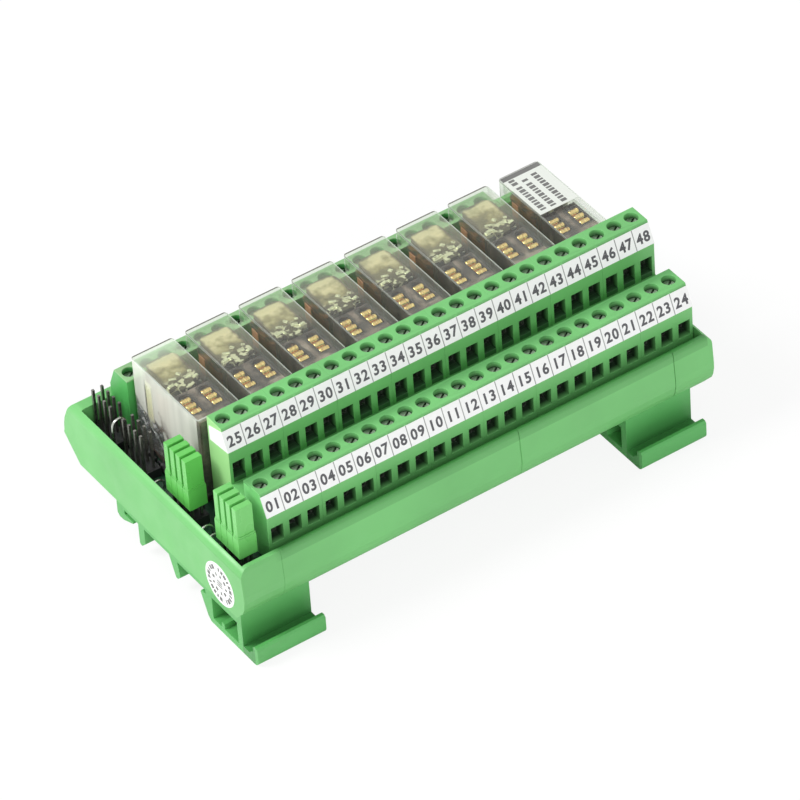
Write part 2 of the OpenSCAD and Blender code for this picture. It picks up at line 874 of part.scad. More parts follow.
module relay_base(index) {
    color(brown_grey) translate([x_relay + index * relay_pitch, y_relay, z_top]) {
        difference() {
            union() {
                linear_extrude(flange_h) translate([-relay_w / 2, 0]) round_rect(relay_w, relay_l, cover_t);
                block([-inner_w / 2, inner_y, 0], [inner_w, relay_l - 2 * inner_y, base_h]);
            }
            translate([0, 0, -1]) linear_extrude(base_h + 2) at_relay_leads() circle(lead_hole_r);
        }
        translate([0, 0, base_h]) linear_extrude(housing_top - housing_lid - base_h) housing_walls();
        translate([0, 0, housing_top - housing_lid]) linear_extrude(housing_lid) difference() {
            translate([-inner_w / 2, inner_y]) square([inner_w, housing_l]);
            housing_windows();
        }
    }
}

// Bobbin with its winding and its two leads
module relay_coil(index) {
    low_y = coil_y - bobbin_l / 2;
    translate([x_relay + index * relay_pitch, y_relay, z_top]) {
        difference() {
            union() {
                color(cream) for (z = [bobbin_bottom, bobbin_top - bobbin_flange])
                    translate([-bobbin_w / 2, low_y, z])
                        linear_extrude(bobbin_flange) round_rect(bobbin_w, bobbin_l, bobbin_round);
                color(copper) translate([0, coil_y, bobbin_bottom])
                    cylinder(r = coil_r, h = bobbin_top - bobbin_bottom);
            }
            translate([0, coil_y, 0]) cylinder(r = core_r + slide_gap, h = relay_h);
        }
        color(steel) for (side = [-1, 1])
            translate([side * coil_pin_x, coil_pin_y, lead_z - z_top])
                cylinder(r = lead_r, h = bobbin_bottom + bobbin_flange / 2 - lead_z + z_top);
    }
}

// Iron plate that tips on the yoke, with a leg and the card that pushes the contact springs
module relay_armature(index) {
    card_y = moving_y + spring_t + card_gap;
    plate_l = armature_end - armature_y;
    translate([x_relay + index * relay_pitch, y_relay, z_top]) {
        color(cream) translate([0, 0, armature_z]) linear_extrude(iron_t) {
            translate([-armature_w / 2, armature_y]) square([armature_w, plate_l - armature_round]);
            translate([-armature_w / 2, armature_y]) round_rect(armature_w, plate_l, armature_round);
            translate([-neck_w / 2, leg_y]) square([neck_w, armature_y - leg_y]);
        }
        color(cream) block([-neck_w / 2, leg_y, card_z], [neck_w, iron_t, armature_z - card_z]);
        color(paper) block([-card_w / 2, card_y, card_z], [card_w, leg_y - card_y, card_h]);
    }
}

module relay_yokes() {
    plate = [armature_w, iron_t, yoke_top - base_h];
    color(steel) translate([0, 0, z_top]) at_relays() {
        block([-armature_w / 2, yoke_y, base_h], plate);
        block([-armature_w / 2, yoke_y, base_h], [armature_w, yoke_reach, iron_t]);
        translate([0, coil_y, base_h + iron_t / 2]) cylinder(r = core_r, h = core_top - base_h - iron_t / 2);
        translate([0, coil_y, core_top - pole_face_t]) cylinder(r = pole_face_r, h = pole_face_t);
    }
}

// Round lead of a blade, from below the board up to the foot of the blade
module blade_lead(x, y) {
    translate([x, y + spring_t / 2, lead_z - z_top])
        cylinder(r = lead_r, h = base_h + spring_t / 2 - lead_z + z_top);
}

// Upright contact spring with its lead; rivets is the list of the Y places where its rivets start
module contact_blade(x, y, rivets) {
    block([x - contact_w / 2, y, base_h], [contact_w, spring_t, contact_top - base_h]);
    blade_lead(x, y);
    for (start = rivets) rod_y([x, start, rivet_z], rivet_r, rivet_t + spring_t / 2);
}

// Fixed contact that hangs in front of the armature on a post beside the card
module closed_contact(side) {
    arm_l = post_x + post_w / 2 - contact_x + contact_w / 2;
    left = side > 0 ? contact_x - contact_w / 2 : -post_x - post_w / 2;
    block([side * post_x - post_w / 2, closed_y, base_h], [post_w, spring_t, contact_top - base_h]);
    block([left, closed_y, contact_top - closed_arm_h], [arm_l, spring_t, closed_arm_h]);
    blade_lead(side * post_x, closed_y);
    rod_y([side * contact_x, closed_y - rivet_t, rivet_z], rivet_r, rivet_t + spring_t / 2);
}

module relay_contacts() {
    color(gold) translate([0, 0, z_top]) at_relays() for (side = [-1, 1]) {
        contact_blade(side * contact_x, moving_y, [moving_y - rivet_t, moving_y + spring_t / 2]);
        contact_blade(side * contact_x, open_y, [open_y + spring_t / 2]);
        closed_contact(side);
    }
}

// Headers, jumpers and small parts

module pin_headers() {
    hole = pin_side + lead_gap;
    color(black) for (group = header_groups) difference() {
        block([x_header - header_w / 2, y_front + group - header_l / 2, z_top],
              [header_w, header_l, header_h]);
        at_header_pins([group]) block([-hole / 2, -hole / 2, z_top - 1], [hole, hole, header_h + 2]);
    }
}

module header_pins() {
    color(black) at_header_pins(header_groups)
        block([-pin_side / 2, -pin_side / 2, lead_z], [pin_side, pin_side, z_top + pin_h - lead_z]);
}

// Jumper with a tall grip that bridges the two pins of one row and stands on their tips
module jumper() {
    body_t = pin_pitch - 0.12;
    hole = pin_side + slide_gap;
    ridge = 0.5;
    difference() {
        union() {
            block([-jumper_w / 2, -body_t / 2, z_top + jumper_foot_h],
                  [jumper_w, body_t, jumper_body_h - jumper_foot_h]);
            block([-jumper_w / 2 + 0.2, -grip_t / 2, z_top + jumper_body_h - 0.1],
                  [jumper_w - 0.4, grip_t, jumper_h - jumper_body_h + 0.1]);
            block([-jumper_w / 2 + 0.1, -body_t / 2 + 0.1, z_top + jumper_body_h - 0.1],
                  [jumper_w - 0.2, body_t - 0.2, ridge + 0.1]);
        }
        for (side = [-1, 1])
            block([side * pin_pitch / 2 - hole / 2, -hole / 2, z_top + jumper_foot_h - 1],
                  [hole, hole, pin_h - jumper_foot_h + 1]);
    }
}

module jumper_group(group) {
    color(bright_green) for (row = [0:pin_rows - 1])
        translate([x_header, y_front + group + (row - (pin_rows - 1) / 2) * pin_pitch, 0]) jumper();
}

module front_jumpers() {
    jumper_group(front_group);
}

module rear_jumpers() {
    jumper_group(rear_group);
}

module diodes() {
    body_z = z_top + diode_r + 0.2;
    color(black) for (y = diode_y) {
        rod_y([diode_x, y - diode_l / 2, body_z], diode_r, diode_l);
        rod_y([diode_x, y - diode_reach - wire_r, body_z], wire_r, 2 * (diode_reach + wire_r));
        for (end = [-1, 1])
            translate([diode_x, y + end * diode_reach, lead_z]) cylinder(r = wire_r, h = body_z - lead_z);
    }
}

// Bare wires bent over in an arch
module wire_links() {
    r = link_span / 2;
    color(steel) for (i = [0:len(link_y) - 1]) translate([link_x, link_y[i], z_top + link_h[i] - r]) {
        rotate([90, 0, 0]) rotate_extrude(angle = 180) translate([r, 0]) circle(wire_r);
        for (side = [-1, 1])
            translate([side * r, 0, lead_z - z_top - link_h[i] + r])
                cylinder(r = wire_r, h = z_top + link_h[i] - r - lead_z);
    }
}

left_end_element();
long_element();
short_element();
right_end_element();
left_rail_foot();
right_rail_foot();
circuit_board();
for (i = [1:front_blocks]) terminal_block(i - 1);
back_terminals();
terminal_screws();
wire_clamps();
upper_label_strip();
lower_label_strip();
for (i = [1:relays]) relay_cover(i - 1);
for (i = [1:relays]) relay_base(i - 1);
for (i = [1:relays]) relay_coil(i - 1);
for (i = [1:relays]) relay_armature(i - 1);
relay_yokes();
relay_contacts();
pin_headers();
header_pins();
front_jumpers();
rear_jumpers();
diodes();
wire_links();
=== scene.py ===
"""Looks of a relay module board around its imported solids. Metres, Z up, in the frame of the solids."""
import math

import bmesh
import bpy
from mathutils import Matrix, Vector


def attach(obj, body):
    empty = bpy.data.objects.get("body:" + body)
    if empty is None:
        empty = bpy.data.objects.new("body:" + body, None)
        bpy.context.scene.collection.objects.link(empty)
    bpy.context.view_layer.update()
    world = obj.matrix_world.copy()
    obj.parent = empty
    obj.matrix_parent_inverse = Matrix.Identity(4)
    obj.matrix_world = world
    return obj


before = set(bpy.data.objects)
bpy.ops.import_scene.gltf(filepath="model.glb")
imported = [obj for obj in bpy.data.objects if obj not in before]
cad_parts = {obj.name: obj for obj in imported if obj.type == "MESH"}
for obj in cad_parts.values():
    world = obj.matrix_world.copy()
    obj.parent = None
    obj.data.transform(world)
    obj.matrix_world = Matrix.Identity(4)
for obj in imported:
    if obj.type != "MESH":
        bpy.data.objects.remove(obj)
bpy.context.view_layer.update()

# Sizes of the solids that the looks refer to

MM = 0.001
PITCH = 5.08 * MM
POLES = 24
FIRST_POLE_X = -53.56 * MM
FIRST_BACK_POLE_X = -55.12 * MM
BLOCKS_LEFT_X = -56.1 * MM
# A level of terminals: Y of its front and back, Z of its top
LOW_LEVEL = (-31.35 * MM, -22.25 * MM, 39.1 * MM)
HIGH_LEVEL = (-16.55 * MM, -8.05 * MM, 49 * MM)
BACK_LEVEL = (25.45 * MM, 33.65 * MM, 37.2 * MM)
# One Y between the low and the high level, and one between the high level and the back row
HIGH_FROM_Y = -17 * MM
BACK_FROM_Y = 20 * MM
OPENING_W = 3.3 * MM

RELAYS = 8
RELAY_PITCH = 15.1 * MM
FIRST_RELAY_X = -50.56 * MM
RELAY_Y = -4.35 * MM
RELAY_W = 11.8 * MM
RELAY_L = 29 * MM
COVER_TOP = 44.8 * MM
BOARD_TOP = 19.3 * MM
# In a relay's own frame: the windows over its contacts, its coil, and its armature's plate
WINDOW_X = 2.9 * MM
WINDOW_W = 2.8 * MM
WINDOW_Y = 8.2 * MM
WINDOW_L = 7.4 * MM
COIL_Y = 21.4 * MM
WINDING_RADIUS = 4.55 * MM
WINDING_Z = (7.1 * MM, 20.3 * MM)
PLATE_W = 8.6 * MM
PLATE_END = 26.2 * MM
PLATE_TOP = 24.2 * MM

WALL_FRONT_Y = -37.15 * MM
WALL_TOP = 27.1 * MM
WALL_X = (-58 * MM, 66.2 * MM)
# Between the release lip and the latch box of each foot
LATCH_CORNER_Y = (-39.8 * MM, -34.6 * MM)

SHARP = math.radians(40)

# Materials


class Nodes:
    """A new material with one Principled shader, and short calls for the nodes that feed it."""

    def __init__(self, name, **values):
        self.material = bpy.data.materials.new(name)
        self.material.use_nodes = True
        self.tree = self.material.node_tree
        self.tree.nodes.clear()
        self.out = self.tree.nodes.new("ShaderNodeOutputMaterial")
        self.shader = self.add("BsdfPrincipled", **values)
        self.show(self.shader.outputs[0])

    def put(self, value, socket):
        """Links another node's output to a socket, or sets the socket to a plain value."""
        if isinstance(value, bpy.types.NodeSocket):
            self.tree.links.new(value, socket)
        else:
            socket.default_value = value

    def add(self, kind, **values):
        node = self.tree.nodes.new("ShaderNode" + kind)
        for key, value in values.items():
            self.put(value, node.inputs[key])
        return node

    def feed(self, name, source):
        self.put(source, self.shader.inputs[name])

    def show(self, shader):
        self.put(shader, self.out.inputs[0])

    def math(self, operation, *values):
        node = self.add("Math")
        node.operation = operation
        for value, socket in zip(values, node.inputs):
            self.put(value, socket)
        return node.outputs[0]

    def both(self, first, second):
        """The product of two shares: 1 only where both are 1."""
        return self.math("MULTIPLY", first, second)

    def outside(self, share):
        return self.math("SUBTRACT", 1, share)

    def place(self):
        """X, Y and Z of the point in its piece's own frame, in metres."""
        return self.add("SeparateXYZ", Vector=self.add("TexCoord").outputs["Object"]).outputs

    def noise(self, scale, detail, stretch=None):
        place = self.add("TexCoord").outputs["Object"]
        if stretch:
            place = self.add("Mapping", Vector=place, Scale=stretch).outputs[0]
        return self.add("TexNoise", Vector=place, Scale=scale, Detail=detail).outputs[0]

    def ramp(self, source, *stops):
        node = self.add("ValToRGB", Fac=source)
        points = node.color_ramp.elements
        while len(points) < len(stops):
            points.new(0.5)
        for point, (place, colour) in zip(points, stops):
            point.position = place
            point.color = (*colour, 1)
        return node.outputs[0]

    def drift(self, source, colour, share):
        """This colour, darker and lighter by a share of it as source changes."""
        return self.ramp(source, (0.3, shade(colour, 1 - share)), (0.7, shade(colour, 1 + share)))

    def spread(self, source, low, high, first, last):
        """Turns the range from low to high into that from first to last, and holds both ends."""
        ends = {"From Min": low, "From Max": high, "To Min": first, "To Max": last}
        return self.add("MapRange", Value=source, **ends).outputs[0]

    def mix(self, share, first, second):
        node = self.add("Mix")
        node.data_type = "RGBA"
        self.put(share, node.inputs[0])
        # The colour sockets come after those for numbers and vectors
        for colour, socket in ((first, node.inputs[6]), (second, node.inputs[7])):
            self.put((*colour, 1) if isinstance(colour, tuple) else colour, socket)
        return node.outputs[2]

    def mix_shaders(self, share, first, second):
        node = self.add("MixShader")
        for source, socket in zip((share, first, second), node.inputs):
            self.put(source, socket)
        return node.outputs[0]

    def bump(self, height, strength, distance):
        """Bumps on the Principled shader, given back for a second shader too."""
        normal = self.add("Bump", Height=height, Strength=strength, Distance=distance).outputs[0]
        self.feed("Normal", normal)
        return normal

    def between(self, value, low, high):
        """1 where value lies between low and high, and 0 elsewhere."""
        return self.both(self.math("GREATER_THAN", value, low), self.math("LESS_THAN", value, high))

    def beyond(self, value, middle, reach):
        """How much farther than reach a value lies from middle, on either side."""
        return self.math("SUBTRACT", self.math("ABSOLUTE", self.math("SUBTRACT", value, middle)), reach)

    def repeated(self, value, first, step):
        """Distance from the middle of the nearest of many like pieces, which lie one step apart."""
        shifted = self.math("SUBTRACT", value, first - step / 2)
        return self.math("SUBTRACT", self.math("FLOORED_MODULO", shifted, step), step / 2)

    def near(self, value, first, step, reach):
        """1 within this reach of the middle of any of many like pieces."""
        return self.math("LESS_THAN", self.math("ABSOLUTE", self.repeated(value, first, step)), reach)

    def moulded(self, colour, smoothest, roughest, grain_depth):
        """The finished material of a moulding: this colour, uneven gloss and fine mould texture."""
        self.feed("Base Color", colour)
        self.feed("Roughness", self.spread(self.noise(160, 4), 0.3, 0.7, smoothest, roughest))
        self.bump(self.noise(900, 2), 0.35, grain_depth)
        return self.material


def shade(colour, factor):
    return tuple(min(1, c * factor) for c in colour)


def grey(level):
    return (level, level, level)


def plastic(name, colour, roughness, grain_depth=0.012 * MM, drift=0.1):
    """Moulded plastic with slow changes of tone."""
    n = Nodes(name)
    tone = n.drift(n.noise(45, 3), colour, drift)
    return n.moulded(tone, roughness - 0.06, roughness + 0.08, grain_depth)


def metal(name, colour, roughness, stretch=(1, 1, 1), drift=0.14):
    """Rolled or plated metal with fine marks along one direction."""
    n = Nodes(name, Metallic=1.0)
    marks = n.noise(700, 3, stretch)
    n.feed("Base Color", n.drift(marks, colour, drift))
    n.feed("Roughness", n.spread(marks, 0.3, 0.7, roughness - 0.08, roughness + 0.12))
    n.bump(marks, 0.25, 0.01 * MM)
    return n.material


def paper(name, colour=(0.86, 0.87, 0.86)):
    n = Nodes(name)
    fibres = n.noise(1400, 4)
    n.feed("Base Color", n.ramp(fibres, (0.3, shade(colour, 0.97)), (0.7, colour)))
    n.feed("Roughness", n.spread(fibres, 0.3, 0.7, 0.5, 0.62))
    n.bump(fibres, 0.2, 0.01 * MM)
    return n.material


def inside_level(n, y, z, level):
    """How far a point lies inside one level of terminals, seen along its length."""
    front, back, top = level
    from_ends = n.math("MINIMUM", n.math("SUBTRACT", y, front), n.math("SUBTRACT", back, y))
    return n.math("MINIMUM", from_ends, n.math("SUBTRACT", top, z))


def terminal_material():
    """Green moulding with painted shade that grows inwards in its screw holes and wire openings, and other
    painted light and shade on its faces.
    """
    n = Nodes("terminal_green")
    x, y, z = n.place()
    green = n.drift(n.noise(45, 3), (0.15, 0.465, 0.145), 0.08)
    # Painted light: the left end faces of the high and the low level are lighter, as the lamp from the left
    # lights them
    left_end = n.math("LESS_THAN", x, BLOCKS_LEFT_X + 0.08 * MM)
    high = n.between(y, HIGH_FROM_Y, BACK_FROM_Y)
    low = n.math("LESS_THAN", y, HIGH_FROM_Y)
    green = n.mix(n.both(left_end, high), green, (0.34, 0.66, 0.26))
    green = n.mix(n.both(left_end, low), green, (0.24, 0.7, 0.24))
    # Painted shade on the back row's sides, and a paler, greyer top as painted sheen
    behind = n.math("GREATER_THAN", y, BACK_FROM_Y)
    below_top = BACK_LEVEL[2] - 0.3 * MM
    green = n.mix(n.both(behind, n.math("LESS_THAN", z, below_top)), green, (0.075, 0.4, 0.09))
    green = n.mix(n.both(behind, n.math("GREATER_THAN", z, below_top)), green, (0.24, 0.46, 0.21))
    # Painted light on the low level's foot, as if the tray's wall lit it from below
    in_front = n.math("LESS_THAN", y, LOW_LEVEL[0] + 0.35 * MM)
    foot = n.both(in_front, n.spread(z, 24.2 * MM, 25.4 * MM, 0.5, 0))
    green = n.mix(foot, green, (0.25, 0.75, 0.25))
    # Painted shade on the face below each upper opening
    face = n.between(y, HIGH_LEVEL[0] - 0.25 * MM, HIGH_LEVEL[0] + 1.55 * MM)
    below = n.both(face, n.between(z, 33.75 * MM, 35.4 * MM))
    below = n.both(n.both(below, n.near(x, FIRST_POLE_X, PITCH, OPENING_W / 2)), 0.8)
    green = n.mix(below, green, (0.012, 0.045, 0.02))
    # The back part of the low level's top, which the high level shades
    back_part = n.both(n.between(y, -26 * MM, -22 * MM), n.spread(y, -26 * MM, -23 * MM, 0, 0.6))
    shaded = n.both(back_part, n.between(z, LOW_LEVEL[2] - 0.5 * MM, LOW_LEVEL[2] + 0.4 * MM))
    green = n.mix(shaded, green, (0.04, 0.2, 0.045))
    # Painted shade in the insides of all the holes, darker with depth
    front = n.math("MAXIMUM", inside_level(n, y, z, LOW_LEVEL), inside_level(n, y, z, HIGH_LEVEL))
    front = n.both(front, n.near(x, FIRST_POLE_X, PITCH, 2.2 * MM))
    back = n.both(inside_level(n, y, z, BACK_LEVEL), n.near(x, FIRST_BACK_POLE_X, PITCH, 2.2 * MM))
    depth = n.spread(n.math("MAXIMUM", front, back), 0.1 * MM, 1.9 * MM, 0, 0.96)
    return n.moulded(n.mix(depth, green, (0.008, 0.02, 0.01)), 0.32, 0.46, 0.008 * MM)


def tray_material():
    """Green moulding of the tray, with a painted shadow of the terminal blocks on the front wall's top edge.
    """
    n = Nodes("tray_green")
    x, y, z = n.place()
    green = n.drift(n.noise(45, 3), (0.145, 0.455, 0.14), 0.08)
    # Painted shadow of the terminal blocks on the front wall's top, darkest towards the blocks and fading out
    # at the left end
    wall = n.between(y, WALL_FRONT_Y - 0.25 * MM, WALL_FRONT_Y + 2.25 * MM)
    wall = n.both(wall, n.between(x, *WALL_X))
    wall = n.both(wall, n.math("GREATER_THAN", z, WALL_TOP - 2.6 * MM))
    inwards = n.spread(y, WALL_FRONT_Y - 0.15 * MM, WALL_FRONT_Y + 1.85 * MM, 0, 1)
    band = n.ramp(inwards, (0, grey(0)), (0.25, grey(0.16)), (0.6, grey(0.72)), (1, grey(0.97)))
    band = n.both(n.both(band, wall), n.spread(x, WALL_X[0], WALL_X[0] + 2.5 * MM, 0, 1))
    return n.moulded(n.mix(band, green, (0.022, 0.15, 0.024)), 0.36, 0.5, 0.012 * MM)


def foot_material():
    """Green moulding of the feet, painted darker than the tray as shade under its overhang, and with more
    painted shade in the corner behind the release lip.
    """
    n = Nodes("foot_green")
    _, y, z = n.place()
    green = n.ramp(n.noise(45, 3), (0.3, (0.085, 0.35, 0.09)), (0.7, (0.1, 0.41, 0.11)))
    # Painted shade in the corner behind the release lip
    corner = n.both(n.between(y, *LATCH_CORNER_Y), n.spread(z, 3 * MM, 12 * MM, 0.5, 0))
    return n.moulded(n.mix(corner, green, (0.02, 0.13, 0.028)), 0.36, 0.5, 0.012 * MM)


def jumper_material():
    """Glossy green moulding, paler on the front group."""
    n = Nodes("jumper_green")
    y = n.place()[1]
    slow = n.noise(45, 3)
    rear = n.drift(slow, (0.115, 0.49, 0.09), 0.06)
    front = n.ramp(slow, (0.3, (0.14, 0.5, 0.12)), (0.7, (0.165, 0.55, 0.14)))
    in_front = n.math("LESS_THAN", y, -15 * MM)
    return n.moulded(n.mix(in_front, rear, front), 0.22, 0.36, 0.004 * MM)


def base_material():
    """Brown moulding of a relay's housing, deeper round the two windows over its contacts."""
    n = Nodes("relay_base_plastic")
    x, y, _ = n.place()
    across = n.math("ABSOLUTE", n.repeated(x, FIRST_RELAY_X, RELAY_PITCH))
    from_window = n.math("MAXIMUM", n.beyond(across, WINDOW_X, WINDOW_W / 2),
                         n.beyond(y, RELAY_Y + WINDOW_Y, WINDOW_L / 2))
    uneven = n.spread(n.noise(300, 3), 0.35, 0.65, -0.35 * MM, 0.35 * MM)
    rim = n.spread(n.math("ADD", from_window, uneven), 0.4 * MM, 1.0 * MM, 0.95, 0)
    brown = n.ramp(n.noise(210, 4), (0.38, (0.045, 0.03, 0.028)), (0.5, (0.15, 0.1, 0.088)),
                   (0.64, (0.32, 0.24, 0.21)))
    return n.moulded(n.mix(rim, brown, (0.02, 0.013, 0.012)), 0.27, 0.41, 0.01 * MM)


def clear_plastic():
    """Clear moulded cover: glossy, milky where it is seen at a low angle, with painted highlights on its pale
    edges, painted dark reflections on some edges, and painted reflections on its top and on the first cover's
    side.
    """
    n = Nodes("clear_plastic", Roughness=0.2)
    x, y, z = n.place()
    sideways = n.repeated(x, FIRST_RELAY_X, RELAY_PITCH)
    along = n.math("SUBTRACT", y, RELAY_Y + RELAY_L / 2)
    from_side = n.math("SUBTRACT", RELAY_W / 2, n.math("ABSOLUTE", sideways))
    from_end = n.math("SUBTRACT", RELAY_L / 2, n.math("ABSOLUTE", along))
    from_top = n.math("SUBTRACT", COVER_TOP, z)

    def edge(first, second, width):
        """1 on the edge where two faces meet, falling to 0 at this width from it."""
        ends = n.math("ADD", n.spread(first, 0, width, 1, 0), n.spread(second, 0, width, 1, 0))
        return n.math("SUBTRACT", ends, 1)

    outermost = n.math("MINIMUM", from_top, n.math("MINIMUM", from_side, from_end))
    outer = n.math("LESS_THAN", outermost, 0.4 * MM)
    on_top = n.math("LESS_THAN", from_top, 0.35 * MM)
    # Only the first cover shows its whole left side, up to this X
    not_first = n.math("GREATER_THAN", x, -50 * MM)
    later = n.spread(x, -45 * MM, -41 * MM, 0, 1)

    # Painted highlights on the edges all round, weaker towards the rear
    pale = n.math("MAXIMUM", edge(from_side, from_top, 0.45 * MM), edge(from_end, from_top, 0.6 * MM))
    pale = n.math("MAXIMUM", pale, n.both(edge(from_side, from_end, 0.6 * MM), 0.6))
    pale = n.both(pale, n.spread(along, 11 * MM, 14 * MM, 1, 0.45))
    edge_highlight = n.both(n.spread(pale, 0, 0.5, 0, 0.55), n.spread(not_first, 0, 1, 1, 0.6))

    # Painted dark reflections on edges: the top's rear one, and on the later covers the top's left one
    rear_edge = n.spread(edge(from_end, from_top, 0.5 * MM), 0.1, 0.4, 0, 1)
    left_edge = n.both(n.math("LESS_THAN", sideways, 0), edge(from_side, from_top, 0.22 * MM))
    left_edge = n.both(n.spread(left_edge, 0.1, 0.3, 0, 0.75), not_first)
    dark = n.math("MAXIMUM", n.both(n.math("GREATER_THAN", along, 0), rear_edge), left_edge)

    # Haze on the sides, except low at the rear and in a slit beside the coil
    facing = n.add("LayerWeight", Blend=0.5).outputs["Facing"]
    haze = n.ramp(facing, (0.25, grey(0.03)), (0.37, grey(0.12)), (0.62, grey(0.6)), (0.95, grey(0.85)))
    streaks = n.spread(n.noise(260, 2, (1, 1, 0.06)), 0.35, 0.65, 0.88, 1.12)
    patches = n.spread(n.noise(150, 3), 0.4, 0.6, -3 * MM, 3 * MM)
    low = n.spread(n.math("ADD", z, patches), 29 * MM, 34 * MM, 1, 0)
    low = n.both(low, n.spread(n.math("ADD", along, patches), -1 * MM, 3 * MM, 0, 0.85))
    beside_coil = n.math("ABSOLUTE", n.math("SUBTRACT", along, 7.6 * MM))
    slit = n.both(n.spread(beside_coil, 1.0 * MM, 1.9 * MM, 1, 0), n.spread(z, 39 * MM, 42 * MM, 1, 0))
    clear = n.math("MAXIMUM", n.math("MAXIMUM", low, slit), n.both(not_first, 0.82))
    clear = n.both(clear, n.outside(on_top))
    haze = n.both(n.both(haze, streaks), n.outside(clear))

    # The top: no haze over the contacts, and a painted reflection as a veil towards the rear
    haze = n.both(haze, n.outside(n.both(on_top, n.spread(along, -3 * MM, 2 * MM, 0.85, 0))))
    top_reflection = n.both(on_top, n.spread(along, 5 * MM, 13 * MM, 0, 0.36))
    top_reflection = n.both(top_reflection, n.spread(later, 0, 1, 1, 0.45))
    haze = n.both(n.math("ADD", haze, top_reflection), outer)

    # Painted reflections of the pins, and painted small parts, behind the first cover's side
    painted_clutter = n.both(low, n.outside(n.math("MAXIMUM", not_first, on_top)))
    haze = n.math("MAXIMUM", haze, n.both(n.both(painted_clutter, outer), 0.62))

    # Painted colours of the veil: warm towards the front, and towards the rear the green of the back row seen
    # through, duller on the later covers
    tint = n.mix(later, (0.68, 0.8, 0.62), (0.4, 0.5, 0.34))
    top_milk = n.mix(n.spread(along, 6 * MM, 12 * MM, 0, 1), (0.76, 0.7, 0.52), tint)
    milk = n.mix(on_top, (0.86, 0.87, 0.78), top_milk)
    # The colour of the painted highlights on the edges
    milk = n.mix(n.spread(pale, 0, 0.4, 0, 1), milk, (0.74, 0.8, 0.72))
    parts = n.ramp(n.noise(520, 3), (0.42, (0.02, 0.025, 0.03)), (0.56, (0.16, 0.18, 0.2)),
                   (0.66, (0.85, 0.86, 0.84)))
    milk = n.mix(painted_clutter, milk, parts)
    # The painted dark reflections on the edges, over the milk
    n.feed("Base Color", n.mix(dark, milk, (0.09, 0.085, 0.065)))

    wavy = n.bump(n.noise(60, 2), 0.1, 0.1 * MM)
    open_shader = n.add("BsdfTransparent", Color=(0.95, 0.98, 0.94, 1))
    gloss = n.add("BsdfGlossy", Color=(1, 1, 1, 1), Roughness=0.12, Normal=wavy)
    shine = n.math("MULTIPLY_ADD", n.math("POWER", facing, 3), 1.1, 0.005)
    glassy = n.mix_shaders(shine, open_shader.outputs[0], gloss.outputs[0])
    share = n.math("MAXIMUM", n.math("MAXIMUM", haze, edge_highlight), dark)
    n.show(n.mix_shaders(share, glassy, n.shader.outputs[0]))
    return n.material


def armature_material():
    """Passivated iron plate with a dark rim, beige at its far end and olive towards the hinge, with painted
    glints near the hinge.
    """
    n = Nodes("armature_iron", Metallic=0.45)
    x, y, _ = n.place()
    marks = n.noise(500, 3, (3, 1, 1))
    blotch = n.noise(330, 4)
    tone = n.spread(y, RELAY_Y + 17 * MM, RELAY_Y + 25 * MM, 0, 1)
    tone = n.math("ADD", tone, n.spread(blotch, 0.35, 0.65, -0.3, 0.3))
    plate = n.ramp(tone, (0.1, (0.12, 0.105, 0.04)), (0.45, (0.34, 0.29, 0.13)), (0.95, (0.85, 0.72, 0.45)))
    half = n.math("ABSOLUTE", n.repeated(x, FIRST_RELAY_X, RELAY_PITCH))
    from_edge = n.math("MINIMUM", n.math("SUBTRACT", PLATE_W / 2, half),
                       n.math("SUBTRACT", RELAY_Y + PLATE_END, y))
    ragged = n.math("ADD", from_edge, n.spread(blotch, 0.3, 0.7, -0.3 * MM, 0.3 * MM))
    plate = n.mix(n.spread(ragged, 0.25 * MM, 0.95 * MM, 0.95, 0), plate, (0.06, 0.05, 0.025))
    # Painted glints near the hinge
    painted_glints = n.ramp(n.noise(620, 1), (0.5, (0.05, 0.04, 0.02)), (0.58, (0.8, 0.76, 0.55)))
    near_hinge = n.spread(y, RELAY_Y + 16.6 * MM, RELAY_Y + 18 * MM, 0.85, 0)
    n.feed("Base Color", n.mix(near_hinge, plate, painted_glints))
    n.feed("Roughness", n.spread(marks, 0.3, 0.7, 0.34, 0.52))
    n.bump(marks, 0.25, 0.01 * MM)
    return n.material


def coil_material():
    """Copper winding between two dark flanges, told apart by the distance from the coil's axis."""
    n = Nodes("coil_winding")
    x, y, z = n.place()
    wire = 0.22 * MM
    ways = (n.repeated(x, FIRST_RELAY_X, RELAY_PITCH), n.math("SUBTRACT", y, RELAY_Y + COIL_Y))
    radius = n.math("SQRT", n.math("ADD", *(n.math("MULTIPLY", way, way) for way in ways)))
    foot, head = (BOARD_TOP + end for end in WINDING_Z)
    wound = n.both(n.math("LESS_THAN", radius, WINDING_RADIUS), n.between(z, foot, head))
    turns = n.math("SINE", n.math("MULTIPLY", z, 2 * math.pi / wire))
    copper = n.ramp(turns, (0, (0.3, 0.09, 0.03)), (1, (0.85, 0.36, 0.16)))
    flange = n.ramp(n.noise(420, 2), (0.45, (0.05, 0.04, 0.03)), (0.6, (0.3, 0.13, 0.05)))
    n.feed("Base Color", n.mix(wound, flange, copper))
    n.feed("Roughness", n.spread(wound, 0, 1, 0.45, 0.3))
    n.feed("Metallic", n.both(wound, 0.6))
    n.bump(n.both(turns, wound), 0.6, 0.05 * MM)
    return n.material


def board_material():
    """Solder resist over copper tracks."""
    n = Nodes("board_resist", Roughness=0.32)
    tracks = n.add("TexVoronoi", Scale=260.0)
    tracks.distance = "MANHATTAN"
    line = n.ramp(tracks.outputs["Distance"], (0.42, grey(0)), (0.5, grey(1)))
    n.feed("Base Color", n.mix(line, (0.012, 0.05, 0.028), (0.022, 0.085, 0.045)))
    n.bump(line, 0.3, 0.05 * MM)
    return n.material


def numbered(stem, count):
    return [f"{stem}_{k}" for k in range(1, count + 1)]


